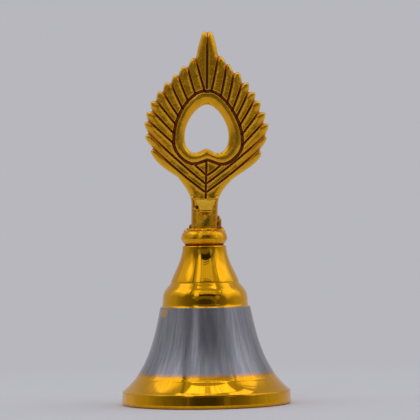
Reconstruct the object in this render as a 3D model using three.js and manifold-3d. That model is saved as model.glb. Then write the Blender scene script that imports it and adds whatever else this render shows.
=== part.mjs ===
/*
 * Brass puja bell, a small hand bell with a cast peacock-feather handle.
 *
 * Millimetres, +Z up. The origin is the centre of the rim's bottom plane, and the front is -Y.
 * The bell stands on its rim. A bolt with an eye holds the handle, the collar and the cup together,
 * and carries a wire link from which the clapper hangs.
 */
import * as THREE from "three";
import { mergeVertices } from "three/addons/utils/BufferGeometryUtils.js";
import Module from "manifold-3d";

const wasm = await Module();
wasm.setup();

// ---- Driving dimensions -------------------------------------------------------------------

const GAP = 0.3; // space between neighbouring pieces
const ROUND_SEGMENTS = 48; // facets round a large turned piece
const SMALL_SEGMENTS = 24; // facets round a small turned piece
const WIRE_SIDES = 8;

// Cup
const RIM_RADIUS = 31.8;
const LIP_HEIGHT = 5.2;
const LIP_TOP_RADIUS = 31.3;
const MOUTH_RADIUS = 28.2;
const WAIST_TOP = 36.3;
const WAIST_TOP_RADIUS = 16.85;
const BEAD_BASE = 38.3;
const BEAD_RADIUS = 16.0;
const BEAD_TOP = 45.3;
const BEAD_TOP_RADIUS = 12.95;
const CUP_HEIGHT = 59.4;
const CROWN_RADIUS = 8.2;
const CROWN_INSIDE = 56.0; // underside of the crown, inside the cup
const CROWN_INSIDE_RADIUS = 5.8;

// Collar
const COLLAR_FOOT_RADIUS = 7.55;
const COLLAR_RADIUS = 8.75;
const COLLAR_TOP_RADIUS = 7.2;
const COLLAR_TOP = 65.0;
const SOCKET_DEPTH = 3.0;
const SOCKET_RADIUS = 4.45;

// Bolt that holds the stack
const STUD_RADIUS = 2.0;
const STUD_TOP = 70.5;
const BORE_RADIUS = STUD_RADIUS + 0.35;
const WASHER_RADIUS = 4.6;
const WASHER_THICKNESS = 0.8;
const NUT_ACROSS_FLATS = 7.0;
const NUT_HEIGHT = 3.2;

// Handle, in its own frame: u to the right, v up from the collar's top, w towards the back
const HANDLE_LEAN = 1.6; // degrees towards +X
const PLUME_CENTRE = 0.3; // the plume's centre line is this far right of the neck's foot
const BARBS_PER_SIDE = 10;
const NOTCH_DEPTH_LEFT = 1.4;
const NOTCH_DEPTH_RIGHT = 1.95;
const SPIKE_TOP = 74.5;
const WEB_HALF = 1.1; // half the thickness of the web under the barbs
const BARB_HALF = 1.75; // half the thickness of a barb
const BARB_BEVEL = 0.6; // slope of each side of the grooves between barbs
const RING_HALF = 2.6; // half the thickness of the ring
const RING_BEVEL = 0.9;
const NECK_HALF_WIDTH = 4.85;
const NECK_HALF_DEPTH = 3.4;
const NECK_BEVEL = 1.0;
const SHOULDER = 0.45; // height of the neck's underside, which clears the collar when it leans
const FLUTE_HALF_WIDTH = 2.5; // shallow flute down the neck's front and back
const FLUTE_TOP = 7.4;
const FLUTE_DEPTH = 0.7;
const TENON_RADIUS = 4.0;
const TENON_LENGTH = 2.5;
const BLIND_BORE_TOP = 6.2;

// Filler metal round the neck's foot
const BRAZE_REACH = 1.1; // width of the fillet beyond its gap
const BRAZE_HEIGHT = 1.1;
const LUMP_HALF_SIZE = [1.15, 1.4, 2.6];
const LUMP_HEIGHT = 2.0; // of its middle, above the neck's underside
const LUMP_BACK = 1.2; // its middle is this far behind the neck's

// Clapper train
const EYE_HEIGHT = 46.6;
const EYE_RADIUS = 3.2; // centre line of the wire
const EYE_WIRE = 0.9; // radius of the wire
const LINK_HEIGHT = 42.05;
const LINK_RADIUS = 3.2;
const LINK_WIRE = 0.8;
const LOOP_HEIGHT = 37.6;
const LOOP_RADIUS = 3.1;
const LOOP_WIRE = 0.9;
const ROD_RADIUS = 1.1;
const BOB_HEIGHT = 14.0;
const BOB_RADIUS = 6.8;
const BOB_FLAT_RADIUS = 2.6; // the turned flats where the rod goes through
const PEEN_RADIUS = 2.0;
const PEEN_HEIGHT = 1.2;

// ---- Finishes -----------------------------------------------------------------------------

function metal(color, roughness) {
  return new THREE.MeshStandardMaterial({ color, roughness, metalness: 1 });
}

const CAST_BRASS = 0xc5942d;
const POLISHED_BRASS = 0xd9a02a;
const BRAZE = 0xb98b20;
const STEEL = 0x9a9a9c;

// ---- Solids -------------------------------------------------------------------------------

/** A closed geometry as a solid, with its shared corners merged and slivers left out. */
function toSolid(geometry) {
  const bare = geometry.clone();
  bare.deleteAttribute("normal");
  bare.deleteAttribute("uv");
  const welded = mergeVertices(bare, 1e-4);
  const corners = welded.index.array;
  const kept = [];
  for (let i = 0; i < corners.length; i += 3) {
    const [a, b, c] = corners.slice(i, i + 3);
    if (a !== b && b !== c && c !== a) kept.push(a, b, c);
  }
  return new wasm.Manifold(
    new wasm.Mesh({
      numProp: 3,
      vertProperties: new Float32Array(welded.attributes.position.array),
      triVerts: new Uint32Array(kept),
    }),
  );
}

function toGeometry(solid) {
  const mesh = solid.getMesh();
  const geometry = new THREE.BufferGeometry();
  geometry.setAttribute("position", new THREE.BufferAttribute(mesh.vertProperties, 3));
  geometry.setIndex(new THREE.BufferAttribute(mesh.triVerts, 1));
  geometry.computeVertexNormals();
  return geometry;
}

function join(geometries) {
  return geometries.map(toSolid).reduce((whole, next) => whole.add(next));
}

/** Turns a profile of [radius, height] points, listed anticlockwise, about the Z axis. */
function turned(profile, segments = ROUND_SEGMENTS) {
  const points = profile.map(([radius, height]) => new THREE.Vector2(radius, height));
  return new THREE.LatheGeometry(points, segments).rotateX(Math.PI / 2);
}

/** A round bar or hole along Z. */
function bar(radius, bottom, top, segments = SMALL_SEGMENTS) {
  return turned([[0, bottom], [radius, bottom], [radius, top], [0, top]], segments);
}

/** A wire bent into a closed circle, upright in the XZ plane, or in the YZ plane when turned. */
function wireRing(radius, wire, height, acrossFront = true) {
  const ring = new THREE.TorusGeometry(radius, wire, WIRE_SIDES, SMALL_SEGMENTS);
  ring.rotateX(Math.PI / 2);
  if (!acrossFront) ring.rotateZ(Math.PI / 2);
  return ring.translate(0, 0, height);
}

function piece(name, geometry, material) {
  const mesh = new THREE.Mesh(geometry, material);
  mesh.name = name;
  return mesh;
}

/** Points on a cubic curve through [x, y] control points, without its first point. */
function curve(from, pull, push, to, steps) {
  const bezier = new THREE.CubicBezierCurve(
    new THREE.Vector2(...from),
    new THREE.Vector2(...pull),
    new THREE.Vector2(...push),
    new THREE.Vector2(...to),
  );
  return bezier
    .getPoints(steps)
    .slice(1)
    .map((point) => [point.x, point.y]);
}

// ---- Cup ----------------------------------------------------------------------------------

function bellCup() {
  const outside = [
    [MOUTH_RADIUS, 0],
    [RIM_RADIUS - 1.0, 0],
    [RIM_RADIUS - 0.25, 0.35],
    [RIM_RADIUS, 1.2],
    [RIM_RADIUS - 0.12, 3.2],
    [LIP_TOP_RADIUS, LIP_HEIGHT],
    ...curve(
      [LIP_TOP_RADIUS, LIP_HEIGHT],
      [21.75, 12.6],
      [19.1, 25.2],
      [WAIST_TOP_RADIUS, WAIST_TOP],
      9,
    ),
    [BEAD_RADIUS + 0.2, WAIST_TOP + 0.7],
    [BEAD_RADIUS, BEAD_BASE],
    ...curve([BEAD_RADIUS, BEAD_BASE], [15.9, 42.6], [14.9, 42.7], [BEAD_TOP_RADIUS, BEAD_TOP], 5),
    ...curve([BEAD_TOP_RADIUS, BEAD_TOP], [11.4, 49.8], [8.7, 53.1], [CROWN_RADIUS, CUP_HEIGHT - 0.8], 5),
    [CROWN_RADIUS - 0.6, CUP_HEIGHT],
  ];
  const inside = [
    [BORE_RADIUS, CUP_HEIGHT],
    [BORE_RADIUS, CROWN_INSIDE],
    [CROWN_INSIDE_RADIUS, CROWN_INSIDE],
    [7.2, 52],
    [9.8, 46],
    [12.6, 42],
    [13.9, 36],
    ...curve([13.9, 36], [15.6, 27.5], [19.5, 14.5], [25.2, 6], 5),
    [26.8, 2.4],
    [MOUTH_RADIUS, 0],
  ];
  return turned([...outside, ...inside]);
}

// ---- Collar and hardware --------------------------------------------------------------------

function collarBead() {
  const foot = CUP_HEIGHT + GAP + 0.1;
  const socketFloor = COLLAR_TOP - SOCKET_DEPTH;
  return turned(
    [
      [BORE_RADIUS, foot],
      [COLLAR_FOOT_RADIUS, foot],
      [COLLAR_FOOT_RADIUS, foot + 0.35],
      [8.3, 61.0],
      [COLLAR_RADIUS - 0.05, 61.9],
      [COLLAR_RADIUS - 0.05, 63.0],
      [8.15, 64.0],
      [COLLAR_TOP_RADIUS, 64.8],
      [COLLAR_TOP_RADIUS - 0.8, COLLAR_TOP],
      [SOCKET_RADIUS, COLLAR_TOP],
      [SOCKET_RADIUS, socketFloor],
      [BORE_RADIUS, socketFloor],
      [BORE_RADIUS, foot],
    ],
    ROUND_SEGMENTS,
  );
}

function hangerStud() {
  const neckOfEye = EYE_HEIGHT + EYE_RADIUS;
  return toGeometry(
    join([bar(STUD_RADIUS, neckOfEye, STUD_TOP), wireRing(EYE_RADIUS, EYE_WIRE, EYE_HEIGHT)]),
  );
}

const WASHER_TOP = CROWN_INSIDE - GAP;
const NUT_TOP = WASHER_TOP - WASHER_THICKNESS - GAP;

function crownWasher() {
  const bottom = WASHER_TOP - WASHER_THICKNESS;
  return turned(
    [
      [BORE_RADIUS, bottom],
      [WASHER_RADIUS, bottom],
      [WASHER_RADIUS, WASHER_TOP],
      [BORE_RADIUS, WASHER_TOP],
      [BORE_RADIUS, bottom],
    ],
    SMALL_SEGMENTS,
  );
}

function crownNut() {
  const cornerRadius = NUT_ACROSS_FLATS / Math.sqrt(3);
  const bottom = NUT_TOP - NUT_HEIGHT;
  const chamfer = 0.4;
  const body = turned(
    [
      [0, bottom],
      [cornerRadius - chamfer, bottom],
      [cornerRadius, bottom + chamfer],
      [cornerRadius, NUT_TOP - chamfer],
      [cornerRadius - chamfer, NUT_TOP],
      [0, NUT_TOP],
    ],
    6,
  );
  const hole = bar(BORE_RADIUS, bottom - 1, NUT_TOP + 1);
  return toGeometry(toSolid(body).subtract(toSolid(hole)));
}

// ---- Clapper train --------------------------------------------------------------------------

const BOB_FLAT_RISE = Math.sqrt(BOB_RADIUS ** 2 - BOB_FLAT_RADIUS ** 2);

function clapperWire() {
  const bobBottom = BOB_HEIGHT - BOB_FLAT_RISE;
  const peenTop = bobBottom - GAP;
  const peen = turned(
    [
      [0, peenTop - PEEN_HEIGHT],
      [PEEN_RADIUS * 0.6, peenTop - PEEN_HEIGHT * 0.85],
      [PEEN_RADIUS, peenTop - PEEN_HEIGHT * 0.3],
      [PEEN_RADIUS, peenTop],
      [0, peenTop],
    ],
    SMALL_SEGMENTS,
  );
  return toGeometry(
    join([
      wireRing(LOOP_RADIUS, LOOP_WIRE, LOOP_HEIGHT),
      bar(ROD_RADIUS, peenTop - PEEN_HEIGHT / 2, LOOP_HEIGHT - LOOP_RADIUS),
      peen,
    ]),
  );
}

function clapperBob() {
  const bore = ROD_RADIUS + GAP;
  const flatAngle = Math.asin(BOB_FLAT_RADIUS / BOB_RADIUS);
  const arcSteps = 12;
  const ball = [];
  for (let i = 0; i <= arcSteps; i += 1) {
    const angle = flatAngle + (Math.PI - 2 * flatAngle) * (i / arcSteps);
    ball.push([BOB_RADIUS * Math.sin(angle), BOB_HEIGHT - BOB_RADIUS * Math.cos(angle)]);
  }
  return turned(
    [
      [bore, BOB_HEIGHT - BOB_FLAT_RISE],
      ...ball,
      [bore, BOB_HEIGHT + BOB_FLAT_RISE],
      [bore, BOB_HEIGHT - BOB_FLAT_RISE],
    ],
    32,
  );
}

// ---- Handle ---------------------------------------------------------------------------------
// Outlines are lists of [u, v] for the right side, with u measured from the plume's centre line.

/** Barb tips from the top one, 0, to the lowest. They follow a leaning parabola. */
const TIP_ARC = new THREE.QuadraticBezierCurve(
  new THREE.Vector2(5.5, 64.05),
  new THREE.Vector2(28.2, 46.0),
  new THREE.Vector2(20.35, 28.8),
);

function barbTip(index) {
  const point = TIP_ARC.getPoint(0.074 * index + 0.004 * index * index);
  return [point.x, point.y];
}

/** The notch above a barb's tip. It lies beside the tip on the top barbs and above it on the lowest. */
function barbNotch(index, depth) {
  const [u, v] = barbTip(index);
  const turn = THREE.MathUtils.degToRad(15 + 65 * (index / (BARBS_PER_SIDE - 1)) ** 4);
  return [u - depth * Math.cos(turn), v + depth * Math.sin(turn)];
}

/** From the neck's side out to the lowest barb's tip. */
const LOWER_EDGE = [
  [NECK_HALF_WIDTH, 9.5],
  ...curve([NECK_HALF_WIDTH, 9.5], [4.0, 13.9], [7.9, 17.1], [9.85, 19.55], 4),
  ...curve([9.85, 19.55], [12.4, 20.95], [21.1, 27.5], barbTip(BARBS_PER_SIDE - 1), 4),
];

const SPIKE_SIDE = [[4.2, 64.3], [3.9, 66.3], [3.0, 70.5], [2.1, 73.4], [0.9, SPIKE_TOP]];

/** Half of the handle's outline, from the neck's foot up to the spike. */
function plumeSide(notchDepth) {
  const side = [[NECK_HALF_WIDTH, SHOULDER], ...LOWER_EDGE];
  for (let index = BARBS_PER_SIDE - 1; index > 0; index -= 1) {
    side.push(barbNotch(index, notchDepth), barbTip(index - 1));
  }
  return [...side, ...SPIKE_SIDE];
}

/** The ring's outer edge: an arch above, two lobes and a cusp below. */
const RING_FOOT = [0, 26.4];
const RING_SIDE = [
  RING_FOOT,
  ...curve(RING_FOOT, [1.5, 26.0], [3.6, 24.8], [5.5, 24.8], 2),
  ...curve([5.5, 24.8], [8.7, 24.85], [13.8, 29.8], [12.8, 34.0], 5),
  ...curve([12.8, 34.0], [13.2, 41.6], [5.5, 53.4], [0, 52.0], 8),
];

/** The opening's edge: an egg with an inverted-heart cusp at its foot. */
const OPENING_SIDE = [
  [0, 30.7],
  ...curve([0, 30.7], [1.0, 30.7], [2.6, 29.0], [4.3, 29.0], 3),
  ...curve([4.3, 29.0], [7.0, 29.0], [8.37, 32.2], [8.2, 35.0], 4),
  ...curve([8.2, 35.0], [8.37, 40.5], [3.6, 47.1], [0, 47.07], 8),
];

/** The point of the ring's outer edge on a bearing, in degrees from the top, seen from its middle. */
function onRing(bearing) {
  const middle = 38;
  const turn = THREE.MathUtils.degToRad(bearing);
  const misses = RING_SIDE.map(([u, v]) => Math.abs(Math.atan2(u, v - middle) - turn));
  return RING_SIDE[misses.indexOf(Math.min(...misses))];
}

/** Root of the groove above a barb: on the ring, or for the two lowest on the centre line. */
function grooveRoot(index) {
  const lowestOnRing = 7;
  if (index <= lowestOnRing) return onRing(5 + 15.6 * index);
  return [0, 17.7 - 3.2 * (index - lowestOnRing - 1)];
}

/** One barb: a leaf between two grooves, from its root to its tip. */
function barbOutline(index, notchDepth) {
  const upper = [barbTip(index), barbNotch(index, notchDepth), grooveRoot(index)];
  if (index === BARBS_PER_SIDE - 1) return [[0, 11], ...LOWER_EDGE, ...upper.slice(1)];
  const nextRoot = grooveRoot(index + 1);
  const outline = [nextRoot, barbNotch(index + 1, notchDepth), ...upper];
  const leavesRing = upper[2][0] > 0 && nextRoot[0] === 0;
  return leavesRing ? [...outline, RING_FOOT] : outline;
}

function mirrored(points) {
  return points.map(([u, v]) => [-u, v]).reverse();
}

/** A closed outline from its two sides; points on the centre line are kept once. */
function bothSides(right, left = right) {
  const back = mirrored(left).filter(([u]) => u < 0);
  return [...right, ...back];
}

function shapeOf(points, hole = null) {
  const shape = new THREE.Shape(points.map(([u, v]) => new THREE.Vector2(u + PLUME_CENTRE, v)));
  if (hole) shape.holes.push(new THREE.Path(shapeOf(hole).getPoints()));
  return shape;
}

/** Extrudes a shape equally to the front and back, with bevels inside its outline, and stands it up. */
function slab(shape, halfThickness, bevel = 0) {
  const depth = 2 * (halfThickness - bevel);
  const geometry = new THREE.ExtrudeGeometry(shape, {
    depth,
    bevelEnabled: bevel > 0,
    bevelSegments: 1,
    bevelThickness: bevel,
    bevelSize: bevel,
    bevelOffset: -bevel,
  });
  return geometry.translate(0, 0, -depth / 2).rotateX(Math.PI / 2);
}

function plume() {
  const opening = bothSides(OPENING_SIDE);
  const outline = bothSides(plumeSide(NOTCH_DEPTH_RIGHT), plumeSide(NOTCH_DEPTH_LEFT));
  const parts = [
    slab(shapeOf(outline, opening), WEB_HALF),
    slab(shapeOf(bothSides(RING_SIDE), opening), RING_HALF, RING_BEVEL),
  ];
  for (let index = 0; index < BARBS_PER_SIDE; index += 1) {
    const right = barbOutline(index, NOTCH_DEPTH_RIGHT);
    const left = mirrored(barbOutline(index, NOTCH_DEPTH_LEFT));
    parts.push(slab(shapeOf(right), BARB_HALF, BARB_BEVEL));
    parts.push(slab(shapeOf(left), BARB_HALF, BARB_BEVEL));
  }
  parts.push(slab(shapeOf(bothSides([grooveRoot(0), ...SPIKE_SIDE])), BARB_HALF, BARB_BEVEL));
  return parts;
}

const NECK_OUTLINE = bothSides([
  [NECK_HALF_WIDTH, SHOULDER],
  [NECK_HALF_WIDTH, 10.4],
  [3.0, 13.2],
  [0, 14.6],
]);

function featherHandle() {
  const neck = slab(shapeOf(NECK_OUTLINE), NECK_HALF_DEPTH, NECK_BEVEL);
  const tenon = bar(TENON_RADIUS, -TENON_LENGTH, SHOULDER + 1);
  const flute = new THREE.Shape([
    new THREE.Vector2(-FLUTE_HALF_WIDTH, SHOULDER - 1),
    new THREE.Vector2(FLUTE_HALF_WIDTH, SHOULDER - 1),
    new THREE.Vector2(FLUTE_HALF_WIDTH - 0.7, FLUTE_TOP),
    new THREE.Vector2(-FLUTE_HALF_WIDTH + 0.7, FLUTE_TOP),
  ]);
  let solid = join([...plume(), neck, tenon]);
  for (const face of [-1, 1]) {
    const cutter = slab(flute, FLUTE_DEPTH).translate(PLUME_CENTRE, face * NECK_HALF_DEPTH, 0);
    solid = solid.subtract(toSolid(cutter));
  }
  const bore = bar(BORE_RADIUS, -TENON_LENGTH - 1, BLIND_BORE_TOP);
  return toGeometry(solid.subtract(toSolid(bore)));
}

/** A low fillet round the neck, with a lump of spilt filler up its right side, towards the back. */
function neckBraze() {
  const reach = GAP + BRAZE_REACH;
  const foot = slab(
    shapeOf(
      bothSides([
        [NECK_HALF_WIDTH + reach, SHOULDER],
        [NECK_HALF_WIDTH + GAP + BRAZE_REACH * 0.4, SHOULDER + BRAZE_HEIGHT],
      ]),
    ),
    NECK_HALF_DEPTH + reach,
    BRAZE_REACH * 0.3,
  );
  const lump = new THREE.SphereGeometry(1, 10, 8)
    .scale(...LUMP_HALF_SIZE)
    .translate(PLUME_CENTRE + NECK_HALF_WIDTH + 2 * GAP, LUMP_BACK, SHOULDER + LUMP_HEIGHT);
  const collarSpace = bar(COLLAR_RADIUS, SHOULDER - COLLAR_RADIUS, SHOULDER);
  const neckSpace = new THREE.BoxGeometry(
    2 * (NECK_HALF_WIDTH + GAP),
    2 * (NECK_HALF_DEPTH + GAP),
    BLIND_BORE_TOP * 2,
  ).translate(PLUME_CENTRE, 0, SHOULDER);
  return toGeometry(
    join([foot, lump]).subtract(toSolid(neckSpace)).subtract(toSolid(collarSpace)),
  );
}

// ---- Assembly -------------------------------------------------------------------------------

const castBrass = metal(CAST_BRASS, 0.4);
const polishedBrass = metal(POLISHED_BRASS, 0.15);
const steel = metal(STEEL, 0.4);

const bell = new THREE.Group();
bell.add(
  piece("bell_cup", bellCup(), polishedBrass),
  piece("collar_bead", collarBead(), metal(POLISHED_BRASS, 0.3)),
  piece("hanger_stud", hangerStud(), steel),
  piece("crown_washer", crownWasher(), steel),
  piece("crown_nut", crownNut(), steel),
);

const handle = new THREE.Group();
handle.position.z = COLLAR_TOP;
handle.rotation.y = THREE.MathUtils.degToRad(HANDLE_LEAN);
handle.add(
  piece("feather_handle", featherHandle(), castBrass),
  piece("neck_braze", neckBraze(), metal(BRAZE, 0.45)),
);

const clapper = new THREE.Group();
clapper.add(
  piece("swing_ring", wireRing(LINK_RADIUS, LINK_WIRE, LINK_HEIGHT, false), steel),
  piece("clapper_wire", clapperWire(), steel),
  piece("clapper_bob", clapperBob(), polishedBrass),
);

const pujaBell = new THREE.Group();
pujaBell.add(bell, handle, clapper);

export default pujaBell;
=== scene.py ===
# The looks of a brass puja bell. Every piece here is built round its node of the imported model,
# in the same frame: metres, +Z up, the origin at the centre of the rim's bottom plane, front -Y.
# Lengths are written in millimetres and turned into metres once, by MM.

import math

import bmesh
import bpy
import numpy as np
from mathutils import Matrix, Vector, noise
from mathutils.geometry import delaunay_2d_cdt


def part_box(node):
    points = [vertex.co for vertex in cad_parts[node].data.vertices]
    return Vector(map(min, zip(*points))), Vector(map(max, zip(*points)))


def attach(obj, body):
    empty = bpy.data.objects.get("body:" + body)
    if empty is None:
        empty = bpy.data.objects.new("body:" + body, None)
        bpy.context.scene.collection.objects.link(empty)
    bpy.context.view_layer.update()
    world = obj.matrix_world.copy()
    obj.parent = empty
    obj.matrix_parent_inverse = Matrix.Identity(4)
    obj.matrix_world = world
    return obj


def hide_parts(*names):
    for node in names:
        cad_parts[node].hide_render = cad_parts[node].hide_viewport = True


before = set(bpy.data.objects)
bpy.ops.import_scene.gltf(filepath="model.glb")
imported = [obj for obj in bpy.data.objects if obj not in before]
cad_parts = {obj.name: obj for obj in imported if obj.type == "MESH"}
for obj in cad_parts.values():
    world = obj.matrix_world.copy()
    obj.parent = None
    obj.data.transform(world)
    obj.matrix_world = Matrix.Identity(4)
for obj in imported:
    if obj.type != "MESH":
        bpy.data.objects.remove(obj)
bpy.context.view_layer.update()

MM = 0.001
ROUND_STEPS = 192  # facets round a large turned piece
SMALL_STEPS = 64  # facets round a small turned piece


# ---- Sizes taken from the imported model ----


def highest_corner(node):
    """The highest corner of a node's box, in millimetres."""
    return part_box(node)[1] / MM


RIM_RADIUS = highest_corner("bell_cup").x
CUP_TOP = highest_corner("bell_cup").z
COLLAR_TOP = highest_corner("collar_bead").z

# ---- Mesh helpers ----


def smoothstep(low, high, x):
    t = np.clip((np.asarray(x, float) - low) / (high - low), 0.0, 1.0)
    return t * t * (3.0 - 2.0 * t)


def hill(x, width):
    """1 at 0, falling away smoothly on both sides."""
    return np.exp(-((x / width) ** 2))


def bezier(p0, p1, p2, p3, steps):
    """Points on a cubic curve, without its first point."""
    t = np.linspace(0.0, 1.0, steps + 1)[1:, None]
    p0, p1, p2, p3 = (np.array(p, float) for p in (p0, p1, p2, p3))
    return (1 - t) ** 3 * p0 + 3 * t * (1 - t) ** 2 * p1 + 3 * t * t * (1 - t) * p2 + t**3 * p3


def curves(start, *stretches):
    """A run of cubic curves with its first point. Each stretch is (pull, push, end, steps)."""
    line = [np.array([start], float)]
    for stretch in stretches:
        line.append(bezier(line[-1][-1], *stretch))
    return np.vstack(line)


def arc(centre, radius, start, end, steps):
    """Points on an arc from one angle to another, in degrees, both ends included."""
    angles = np.radians(np.linspace(start, end, steps + 1))
    return np.column_stack([centre[0] + radius * np.cos(angles), centre[1] + radius * np.sin(angles)])


def chain(*stretches):
    """One outline from points and runs of points."""
    return np.vstack([np.atleast_2d(np.asarray(s, float)) for s in stretches])


def new_object(name, data):
    made = bpy.data.objects.new(name, data)
    bpy.context.scene.collection.objects.link(made)
    return made


def new_piece(name, vertices, faces, material, smooth=True, face_materials=None):
    """A mesh object from millimetre coordinates and faces that wind anticlockwise from outside."""
    mesh = bpy.data.meshes.new(name)
    mesh.from_pydata([tuple(v) for v in np.asarray(vertices, float) * MM], [], [tuple(f) for f in faces])
    for made in material if isinstance(material, (list, tuple)) else [material]:
        mesh.materials.append(made)
    if face_materials is not None:
        mesh.polygons.foreach_set("material_index", np.asarray(face_materials, np.int32))
    mesh.polygons.foreach_set("use_smooth", [smooth] * len(mesh.polygons))
    mesh.validate()
    mesh.update()
    return new_object(name, mesh)


def finish_piece(piece, body, node):
    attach(piece, body)
    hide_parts(node)
    return piece


def joined(*meshes):
    """Several pairs of vertices and faces as one pair."""
    vertices, faces, count = [], [], 0
    for points, polygons in meshes:
        vertices.append(points)
        faces += [tuple(v + count for v in face) for face in polygons]
        count += len(points)
    return np.vstack(vertices), faces


def row_faces(rows, steps, closed=False):
    """Faces between rows of points that each go once round. The last row may meet the first."""
    faces = []
    for row in range(rows if closed else rows - 1):
        low, high = row * steps, (row + 1) % rows * steps
        for i in range(steps):
            j = (i + 1) % steps
            faces.append((low + i, low + j, high + j, high + i))
    return faces


def bar_faces(rows, steps):
    """The faces of a bar: its rows and a cap on each end."""
    last = (rows - 1) * steps
    return row_faces(rows, steps) + [tuple(range(steps))[::-1], tuple(range(last, last + steps))]


def ring_points(radius, turns, height):
    """Points round the Z axis. Their radius and height may change from one to the next."""
    radius, height = (np.broadcast_to(size, turns.shape) for size in (radius, height))
    return np.column_stack([radius * np.cos(turns), radius * np.sin(turns), height])


def revolve(profile, steps):
    """Vertices and faces of an anticlockwise [radius, height] outline turned about Z.
    A profile that starts and ends on the axis is closed there, any other closes on itself."""
    profile = np.asarray(profile, float)
    on_axis = profile[0, 0] < 1e-9
    turns = np.arange(steps) * 2 * math.pi / steps
    body = profile[1:-1] if on_axis else profile
    vertices = np.vstack([ring_points(r, turns, z) for r, z in body])
    faces = row_faces(len(body), steps, closed=not on_axis)
    if on_axis:
        count = len(vertices)
        vertices = np.vstack([vertices, [[0, 0, profile[0, 1]], [0, 0, profile[-1, 1]]]])
        top = count - steps
        for i in range(steps):
            j = (i + 1) % steps
            faces += [(count, j, i), (count + 1, top + i, top + j)]
    return vertices, faces


# ---- Node material helpers ----


class Value:
    """A result of a node. Plain arithmetic on it adds the nodes that work it out."""

    def __init__(self, nodes, socket):
        self.nodes, self.socket = nodes, socket

    def math(self, operation, other=0.0):
        return self.nodes.add("Math", {0: self, 1: other}, operation=operation)

    def __add__(self, other):
        return self.math("ADD", other)

    def __sub__(self, other):
        return self.math("SUBTRACT", other)

    def __rsub__(self, other):
        return self * -1.0 + other

    def __mul__(self, other):
        return self.math("MULTIPLY", other)

    def ease(self, low, high, to_low=0.0, to_high=1.0):
        """This value taken smoothly from the range low to high onto another range."""
        ends = {"From Min": low, "From Max": high, "To Min": to_low, "To Max": to_high}
        return self.nodes.add("MapRange", {"Value": self, **ends}, interpolation_type="SMOOTHSTEP")


class Nodes:
    """The nodes of one material or world."""

    def __init__(self, owner):
        owner.use_nodes = True
        self.owner, self.tree = owner, owner.node_tree
        self.shader = self.tree.nodes.get("Principled BSDF")

    def add(self, kind, inputs, output=0, **settings):
        """Adds a node whose inputs are plain values or results of others, and gives its result."""
        made = self.tree.nodes.new("ShaderNode" + kind)
        for key, value in settings.items():
            setattr(made, key, value)
        self.fill(made, inputs)
        return Value(self, made.outputs[output])

    def fill(self, node, inputs):
        for key, value in inputs.items():
            if isinstance(value, Value):
                self.tree.links.new(value.socket, node.inputs[key])
            else:
                node.inputs[key].default_value = value

    def finish(self, inputs):
        """Fills in the surface shader and gives the material."""
        self.fill(self.shader, inputs)
        return self.owner

    def place(self):
        """Where the point is on the object, in metres."""
        return self.add("TexCoord", {}, "Object")

    def split(self, vector):
        parts = self.add("SeparateXYZ", {0: vector}).socket.node
        return [Value(self, socket) for socket in parts.outputs]

    def stretch(self, vector, z):
        return self.add("Mapping", {"Vector": vector, "Scale": (1, 1, z)})

    def mix(self, factor, a, b):
        return self.add("Mix", {0: factor, 6: a, 7: b}, 2, data_type="RGBA")

    def noise(self, vector, scale, detail=3.0, rough=0.55):
        inputs = {"Vector": vector, "Scale": scale, "Detail": detail, "Roughness": rough}
        return self.add("TexNoise", inputs, "Fac")

    def bump(self, strength, distance, height):
        return self.add("Bump", {"Strength": strength, "Distance": distance, "Height": height})

    def from_axis(self, place):
        """A point's distance from the Z axis and its height."""
        x, y, z = self.split(place)
        return (x * x + y * y).math("SQRT"), z

    def lathe_lines(self, place):
        """A noise that is drawn out round the Z axis into fine turned lines."""
        radius, height = self.from_axis(place)
        line = self.add("CombineXYZ", {0: radius, 1: height})
        return self.noise(line, 1300.0, 2.0) * 0.5 + self.noise(line, 5200.0, 2.0) * 0.5

    def polish_streaks(self, place, scale=42.0):
        """A noise drawn out up and down the cup, as the polishing wheel left it."""
        x, y, z = self.split(place)
        flat = self.add("CombineXYZ", {0: x, 1: y})
        across, along, _ = self.split(self.add("VectorMath", {0: flat}, operation="NORMALIZE"))
        line = self.add("CombineXYZ", {0: across, 1: along, 2: z * 4.0})
        return self.noise(line, scale, 4.0, 0.7)


def new_material(name):
    return Nodes(bpy.data.materials.new(name))


# ---- Colours, as linear values ----

GOLD = (0.95, 0.47, 0.010, 1)
GOLD_DEEP = (0.80, 0.36, 0.006, 1)
CAST_GOLD = (0.96, 0.46, 0.006, 1)
CAST_GOLD_OLIVE = (0.66, 0.325, 0.004, 1)
# The dark olive below paints shade as well as patina, and the worn gold paints highlight.
CAST_SHADE_AND_PATINA = (0.22, 0.12, 0.003, 1)
CAST_WORN_HIGHLIGHT = (1.0, 0.57, 0.034, 1)
AMBER = (0.62, 0.21, 0.006, 1)
# The groove brown below also paints the shadow in the collar's joint.
GROOVE_BROWN_AND_SHADE = (0.27, 0.062, 0.001, 1)
PLATED_GREY = (0.35, 0.345, 0.39, 1)
PLATED_GREY_DARK = (0.255, 0.252, 0.30, 1)
GREY_SPECK = (0.06, 0.05, 0.05, 1)
SCORCHED = (0.40, 0.14, 0.004, 1)
RAW_BRASS = (0.52, 0.34, 0.12, 1)
RAW_BRASS_DARK = (0.26, 0.16, 0.06, 1)
STEEL = (0.50, 0.49, 0.48, 1)
STEEL_DARK = (0.22, 0.20, 0.18, 1)
RUST = (0.20, 0.09, 0.035, 1)
WIRE_STEEL = (0.34, 0.33, 0.32, 1)
WIRE_STEEL_DARK = (0.13, 0.115, 0.10, 1)
PAPER = (0.765, 0.765, 0.835, 1)
PAPER_LIGHT = (0.795, 0.795, 0.865, 1)
BACKDROP_GREY = (0.474, 0.474, 0.509, 1)
TENT_GREY = (0.42, 0.42, 0.42, 1)

# ---- Materials ----

WAIST_FOOT = 11.7  # the plated waist's lower and upper edge
WAIST_TOP = 36.5
BLOTCH_PLACE = (-15.6, -7.6, 34.7)  # a smear of gold lacquer on the plated waist
BLOTCH_RADIUS = 2.9
BLOTCH_SQUASH = 1.45  # how much wider than high the smear is


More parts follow.
